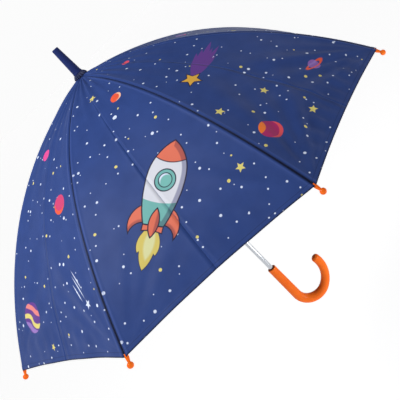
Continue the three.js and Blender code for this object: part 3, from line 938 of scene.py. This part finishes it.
def canopy_sheet(k):
    """One sheet of the canopy, from the middle of one panel over rib k to the middle of the next."""
    radius, side = canopy_grid()
    share = np.abs(side)
    points = canopy_surface(radius, side)
    normals = surface_normals(points)
    half_width = radius * HALF_SIN / MM
    seam = half_width * share
    offset = np.where(side < 0, 1, -1) * half_width * (1 - share)
    length = arc_length(radius) / MM
    hem = (arc_length(hem_radius(side)) - arc_length(radius)) / MM
    before = relief(k - 1 if k > 1 else RIBS, offset, length, seam, hem)
    after = relief(k, offset, length, seam, hem)
    height = np.where(side < 0, before, after) * MM
    points = points + normals * height[..., None]
    angle = rib_angle(k)
    points = turned_about_z(points, angle)
    shut = turned_about_z(shut_surface(radius, side), angle)
    rows, columns = radius.shape
    piece = new_piece(
        f"canopy_sheet_{k}", points, grid_faces(rows, columns),
        printed[(k - 2) % len(DESIGNS)], printed[(k - 1) % len(DESIGNS)], plain_cloth, plain_cloth,
    )
    mesh = piece.data
    set_point_attribute(mesh, "seam_mm", "FLOAT", seam)
    set_point_attribute(mesh, "hem_mm", "FLOAT", hem)
    lay_out_print(mesh, offset, length, half_width, columns)
    fold_with_rib(piece, k, shut, CLOTH_THICK, -1)
    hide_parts(f"canopy_gore_{k}")
    return piece


def lay_out_print(mesh, offset, length, half_width, columns):
    """Panel coordinates in millimetres for each face corner. Points on the seam are in both panels."""
    layer = mesh.uv_layers.new(name="panel_mm")
    corners = np.zeros(len(mesh.loops), dtype=np.int32)
    mesh.loops.foreach_get("vertex_index", corners)
    starts = np.zeros(len(mesh.polygons), dtype=np.int32)
    mesh.polygons.foreach_get("loop_start", starts)
    first_column = corners[starts] % columns
    second = (first_column >= COLUMNS).astype(np.int32)
    mesh.polygons.foreach_set("material_index", second)
    across = offset.ravel()[corners]
    on_seam = corners % columns == COLUMNS
    seam_offset = np.where(np.repeat(second, 4) == 1, -1, 1) * half_width.ravel()[corners]
    across = np.where(on_seam, seam_offset, across)
    uv = np.stack([across, length.ravel()[corners]], axis=-1).astype(np.float32)
    layer.data.foreach_set("uv", uv.ravel())


for rib in range(1, RIBS + 1):
    canopy_sheet(rib)


# -------- the tie strap and its snap
def shut_girth(r):
    """Radius and height of the rolled canopy's outside, at the place of radius r."""
    radius, height = shut_line(r)
    core = radius + SHUT_LIFT
    return core + LAYER / STEP * (r * HALF_SIN / core + STEP), height


def strap_place(along, across, lift):
    """Points of the strap at rest beside its rib, and as it lies round the rolled canopy.
    along and across are in metres from the sewn end and the strap's middle; rows run along it."""
    radius = radius_at(arc_length(STRAP_START) + along)
    side = (STRAP_SIDE + across) / (radius * HALF_SIN)
    plain = canopy_surface(radius, side)
    half_width = radius * HALF_SIN / MM
    seam = half_width * side
    hem = (TIP_LENGTH - arc_length(radius) / MM)
    height = relief(STRAP_RIB, seam - half_width, arc_length(radius) / MM, seam, hem) * MM
    rest = plain + surface_normals(plain) * (height + lift)[..., None]
    girth, level = shut_girth(STRAP_START)
    girth = girth + lift
    turn = along / girth
    x, z = turn_about_hinge(girth * np.cos(turn), level + across, -RIB_TURN)
    shut = np.stack([x, girth * np.sin(turn), z], axis=-1)
    return turned_about_z(rest, rib_angle(STRAP_RIB)), turned_about_z(shut, rib_angle(STRAP_RIB))


def tie_strap():
    along, across = np.meshgrid(
        np.linspace(0, STRAP_LENGTH, 60), np.linspace(-0.5, 0.5, 15) * STRAP_WIDTH, indexing="ij"
    )
    edge = STRAP_WIDTH / 2 - np.abs(across)
    fold = 0.25 * MM * (0.5 - 0.5 * np.tanh((edge - 2.2 * MM) / (0.4 * MM)))
    rest, shut = strap_place(along, across, STRAP_LIFT + fold)
    piece = new_piece("tie_strap_cloth", rest, grid_faces(*along.shape), webbing)
    fold_with_rib(piece, STRAP_RIB, shut, STRAP_THICK - 0.1 * MM, 1)
    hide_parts("tie_strap")


def tie_snap():
    """A press stud near the strap's free end, a turned shape set square on the strap."""
    profile = np.array(rounded([(0, 1), (0.5, 1), (0.72, 0.55), (0.96, 0.5), (1, 0), (0, 0)], 0.2))
    turns = np.arange(SNAP_SIDES + 1) * 2 * math.pi / SNAP_SIDES
    reach = np.maximum(profile[:, :1], 0.01) * SNAP_R
    along = (reach * np.cos(turns))[..., None]
    across = (reach * np.sin(turns))[..., None]
    rise = profile[:, 1:, None] * SNAP_HEIGHT
    steps = np.array([-1, 0, 1]) * MM
    patch = np.meshgrid(SNAP_PLACE * STRAP_LENGTH + steps, steps, indexing="ij")
    shapes = []
    for flat in strap_place(*patch, STRAP_LIFT + STRAP_THICK):
        down = flat[2, 1] - flat[0, 1]
        down = down / np.linalg.norm(down)
        up = np.cross(down, flat[1, 2] - flat[1, 0])
        up = up / np.linalg.norm(up)
        shapes.append(flat[1, 1] + along * down + across * np.cross(up, down) + rise * up)
    rest, shut = shapes
    piece = new_piece("tie_snap_button", rest, grid_faces(*rest.shape[:2]), navy_plastic)
    fold_with_rib(piece, STRAP_RIB, shut)
    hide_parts("tie_snap")


# -------- the pieces on the stick
def grip_radius(share):
    """The grip's radius along it, with its changes of taper smoothed out."""
    offsets = np.linspace(-0.06, 0.06, 13)
    return np.mean([np.interp(share + offset, GRIP_SHARES, GRIP_RADII) for offset in offsets], axis=0)


def grip_path(length):
    """Centre and direction of the grip in the XZ plane at a length from its top."""
    straight = GRIP_TOP - BEND_Z
    left = np.maximum(length - straight, 0)
    heading = np.zeros_like(left)
    x = np.zeros_like(left)
    z = GRIP_TOP - np.minimum(length, straight)
    for radius, turn in HOOK_BENDS:
        reached = heading + np.clip(left / radius, 0, turn)
        x = x + radius * (np.cos(heading) - np.cos(reached))
        z = z - radius * (np.sin(reached) - np.sin(heading))
        left = np.maximum(left - radius * turn, 0)
        heading = reached
    return x, z, np.sin(heading), -np.cos(heading)


def grip():
    """A moulded J handle with a socket round the stick, a rounded end and a faint parting line."""
    total = GRIP_TOP - BEND_Z + sum(radius * turn for radius, turn in HOOK_BENDS)
    top = grip_radius(0)
    turn = np.linspace(math.pi / 2, 0, 6)
    socket = [
        (SOCKET_DEPTH, STICK_R + 0.1 * MM), (SOCKET_DEPTH, 5.0 * MM),
        (0.4 * MM, 5.1 * MM), (0.0, 5.3 * MM),
    ]
    shoulder = [(GRIP_RIM * (1 - math.sin(a)), top - GRIP_RIM * (1 - math.cos(a))) for a in turn]
    straight = np.linspace(GRIP_RIM, total - HOOK_END, 150)[1:]
    body = [(length, float(grip_radius(length / total))) for length in straight]
    end_turn = np.linspace(0, math.pi / 2, 12)[1:]
    last = float(grip_radius(1))
    end = [
        (total - HOOK_END + HOOK_END * math.sin(a), last - HOOK_END * (1 - math.cos(a)))
        for a in end_turn
    ]
    rows = np.array(socket + shoulder + body + end + [(total, 0.05 * MM)])
    length, radius = rows[:, :1], rows[:, 1:]
    angles = np.arange(GRIP_SIDES) * 2 * math.pi / GRIP_SIDES
    from_seam = np.abs(np.angle(np.exp(2j * angles))) / 2
    radius = radius - 0.12 * MM * bell(from_seam * radius, 0.5 * MM) * (radius > 6 * MM)
    x, z, dx, dz = grip_path(length)
    away = radius * np.cos(angles)
    points = np.stack([x - dz * away, radius * np.sin(angles), z + dx * away], axis=-1)
    faces = grid_faces(len(rows), GRIP_SIDES, loop=True)
    piece = new_piece("grip_handle", points, faces, orange_plastic)
    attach(piece, "stick")
    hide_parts("grip")


def ferrule():
    """A tapered cap with a bead at its foot and a slightly domed end."""
    low = CROWN_Z + ROSETTE_HEIGHT
    high = CROWN_Z + FERRULE_HEIGHT
    profile = rounded([
        (STICK_R, low), (FERRULE_BASE_R, low), (FERRULE_BASE_R, low + 0.0022),
        (FERRULE_BASE_R - 0.0005, low + 0.0027), (FERRULE_END_R, high - 0.0006),
        (FERRULE_END_R - 0.0006, high), (0.00001, high + 0.0001),
    ], 0.0006)
    piece = lathe("ferrule_cap", profile, navy_plastic, 72)
    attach(piece, "stick")
    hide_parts("ferrule")


def rosette():
    """A disc of cloth gathered into pleats round the stick, between the ferrule and the canopy."""
    high = CROWN_Z + ROSETTE_HEIGHT + 0.0002
    skirt = dome_z(ROSETTE_R) + 0.0003
    profile = rounded([
        (STICK_R + 0.0014, dome_z(STICK_R) + 0.0002), (ROSETTE_R - 0.0006, skirt),
        (ROSETTE_R + 0.0005, skirt + 0.0012), (ROSETTE_R - 0.0010, skirt + 0.0040),
        (FERRULE_BASE_R + 0.0006, high), (STICK_R + 0.0003, high),
    ], 0.0012, steps=5)

    def pleats(angles, index):
        radius = profile[index][0]
        depth = 0.2 * np.clip((radius - STICK_R) / (ROSETTE_R - STICK_R), 0, 1)
        return 1 - depth * (0.5 + 0.5 * np.cos(17 * angles + 0.8 * np.sin(3 * angles)))

    piece = lathe("crown_gathers", profile, gathered_cloth, 204, pleats)
    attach(piece, "stick")
    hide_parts("crown_rosette")


def rib_tip(k):
    """An orange cap: a sleeve over the rib's end that narrows to a neck, then a ball."""
    shorter = math.cos(math.atan(dome_slope(RIB_REACH)))
    base = Vector(under_dome(RIB_REACH - TIP_OVERLAP * shorter, RIB_DROP))
    direction = (Vector(under_dome(RIB_REACH, RIB_DROP)) - base).normalized()
    ball = TIP_OVERLAP + TIP_SLEEVE
    neck = 0.0016
    start = math.asin(neck / TIP_BALL_R)
    profile = rounded([
        (0.0013, 0.0004), (0.0013, 0), (TIP_SLEEVE_R, 0), (TIP_SLEEVE_R, 0.0050),
        (neck + 0.0003, 0.0075), (neck, ball - TIP_BALL_R * math.cos(start)),
    ], 0.0009)
    profile += [
        (max(TIP_BALL_R * math.sin(turn), 0.00001), ball - TIP_BALL_R * math.cos(turn))
        for turn in np.linspace(start + 0.12, math.pi, 20)
    ]
    piece = lathe(f"rib_tip_cap_{k}", profile, orange_plastic, 40)
    lean = math.atan2(direction.x, direction.y)
    place = Matrix.Rotation(rib_angle(k), 4, "Z") @ Matrix.Translation((base.x, 0, base.y))
    piece.data.transform(place @ Matrix.Rotation(lean, 4, "Y"))
    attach(piece, f"rib_{k}")
    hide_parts(f"rib_tip_{k}")


def smooth_group():
    """Geometry nodes that shade a faceted part smoothly, with its corners left sharp."""
    tree, start, end = geometry_group("smooth_but_for_corners")
    faces = tree.nodes.new("GeometryNodeSetShadeSmooth")
    edges = tree.nodes.new("GeometryNodeSetShadeSmooth")
    edges.domain = "EDGE"
    edges.inputs["Shade Smooth"].default_value = False
    corner = tree.nodes.new("ShaderNodeMath")
    corner.operation = "GREATER_THAN"
    corner.inputs[1].default_value = SHARP_CORNER
    angle = tree.nodes.new("GeometryNodeInputMeshEdgeAngle")
    tree.links.new(angle.outputs["Unsigned Angle"], corner.inputs[0])
    tree.links.new(corner.outputs[0], edges.inputs["Selection"])
    tree.links.new(start.outputs[0], faces.inputs["Geometry"])
    tree.links.new(faces.outputs[0], edges.inputs["Geometry"])
    tree.links.new(edges.outputs[0], end.inputs[0])
    return tree


def finish_cad_node(node, material, bevel):
    """A hard part keeps its CAD shape, with its edges eased and its round faces shaded smoothly."""
    part = bpy.data.objects[node]
    part.data.materials.clear()
    part.data.materials.append(material)
    if bevel:
        eased = part.modifiers.new("eased_edges", "BEVEL")
        eased.width = bevel
        eased.segments = 2
        eased.limit_method = "ANGLE"
        eased.angle_limit = SHARP_CORNER
    part.modifiers.new("smooth", "NODES").node_group = smooth_nodes


SHARP_CORNER = math.radians(32)
EASED = 0.2 * MM  # bevel of most hard edges
smooth_nodes = smooth_group()

tie_strap()
tie_snap()
grip()
ferrule()
rosette()
for rib in range(1, RIBS + 1):
    rib_tip(rib)
    finish_cad_node(f"rib_{rib}", frame_steel, EASED)
    finish_cad_node(f"stretcher_{rib}", frame_steel, EASED)
    finish_cad_node(f"pivot_rivet_{rib}", chrome, 0.15 * MM)
for node, material, bevel in (
    ("shaft", chrome, 0),
    ("top_notch", black_plastic, EASED),
    ("runner_crown", black_plastic, 0.25 * MM),
    ("runner_sleeve", black_plastic, 0.3 * MM),
    ("top_notch_wire", frame_steel, 0),
    ("runner_stop", frame_steel, EASED),
    ("open_catch", frame_steel, EASED),
    ("shut_catch", frame_steel, EASED),
):
    finish_cad_node(node, material, bevel)


# -------- floor, lights and camera
def area_light(name, aim, towards, distance, size, power):
    light = bpy.data.lights.new(name, "AREA")
    light.size = size
    light.energy = power
    lamp = bpy.data.objects.new(name, light)
    direction = Vector(towards).normalized()
    lamp.location = Vector(aim) + direction * distance
    lamp.rotation_euler = direction.to_track_quat("Z", "Y").to_euler()
    bpy.context.scene.collection.objects.link(lamp)


CANOPY_MIDDLE = (0, 0, 0.36)
GRIP_MIDDLE = (0.03, 0, -0.03)
FLOOR_DROP = 0.70  # the umbrella is held up, well above the floor
FLOOR_SIZE = 60.0
FLOOR_GLOW = 0.78  # the floor gives off light, so that it stays white
SKY_HORIZON = 0.97  # a white backdrop all round, dim overhead
SKY_ZENITH = 0.12
SKY_BAND = 0.55  # the height, as a direction's z, where it has faded out
SKY_FADE = 2.6  # how fast it fades
CAMERA_LENS = 51.62  # millimetres
SENSOR_WIDTH = 36.0
CAMERA_SHIFT = (-0.1408, -0.0522)
CAMERA_PLACE = (0.1083, -0.8604, 0.4944)
CAMERA_TURN = (62.922, 39.492, -16.368)  # degrees

floor_z = cad_box[0].z - FLOOR_DROP
floor_corners = [
    (x * FLOOR_SIZE, y * FLOOR_SIZE, floor_z)
    for x, y in ((-1, -1), (1, -1), (1, 1), (-1, 1))
]
floor = new_piece("floor", np.array(floor_corners), [(0, 1, 2, 3)])
floor_material, floor_tree, floor_shader = new_material("pale_floor", {
    "Roughness": 0.9,
    "Emission Color": (1, 1, 1, 1),
    "Emission Strength": FLOOR_GLOW,
})
floor_colour = mix_colour(
    floor_tree, srgb(240, 240, 240), srgb(236, 236, 237), noise(floor_tree, 2.0)
)
plug(floor_tree, floor_colour, floor_shader.inputs["Base Color"])
floor.data.materials.append(floor_material)

world = bpy.data.worlds.new("studio")
world.use_nodes = True
sky_tree = world.node_tree
sky_axes = sky_tree.nodes.new("ShaderNodeSeparateXYZ")
sky_tree.links.new(sky_tree.nodes.new("ShaderNodeTexCoord").outputs["Generated"], sky_axes.inputs[0])
above = Field(sky_tree, sky_axes.outputs["Z"]).max(0.0)
band = ((above * -1.0 + SKY_BAND) * SKY_FADE).clamped()
sky = band * band * (SKY_HORIZON - SKY_ZENITH) + SKY_ZENITH
plug(sky_tree, sky, sky_tree.nodes["Background"].inputs["Strength"])
sky_tree.nodes["Background"].inputs["Color"].default_value = (1, 1, 1, 1)
bpy.context.scene.world = world
bpy.context.scene.view_settings.view_transform = "Standard"

area_light("key", CANOPY_MIDDLE, (-0.42, -0.46, 0.78), distance=0.95, size=0.45, power=7.8)
area_light("rim", CANOPY_MIDDLE, (0.80, 0.30, 0.50), distance=1.2, size=0.4, power=1.0)
area_light("low", GRIP_MIDDLE, (0.75, -0.65, -0.10), distance=0.5, size=0.2, power=0.8)

camera_data = bpy.data.cameras.new("camera")
camera_data.lens = CAMERA_LENS
camera_data.sensor_width = SENSOR_WIDTH
camera_data.shift_x, camera_data.shift_y = CAMERA_SHIFT
camera_data.dof.use_dof = False
camera = bpy.data.objects.new("camera", camera_data)
camera.location = CAMERA_PLACE
camera.rotation_euler = [math.radians(angle) for angle in CAMERA_TURN]
bpy.context.scene.collection.objects.link(camera)
bpy.context.scene.camera = camera
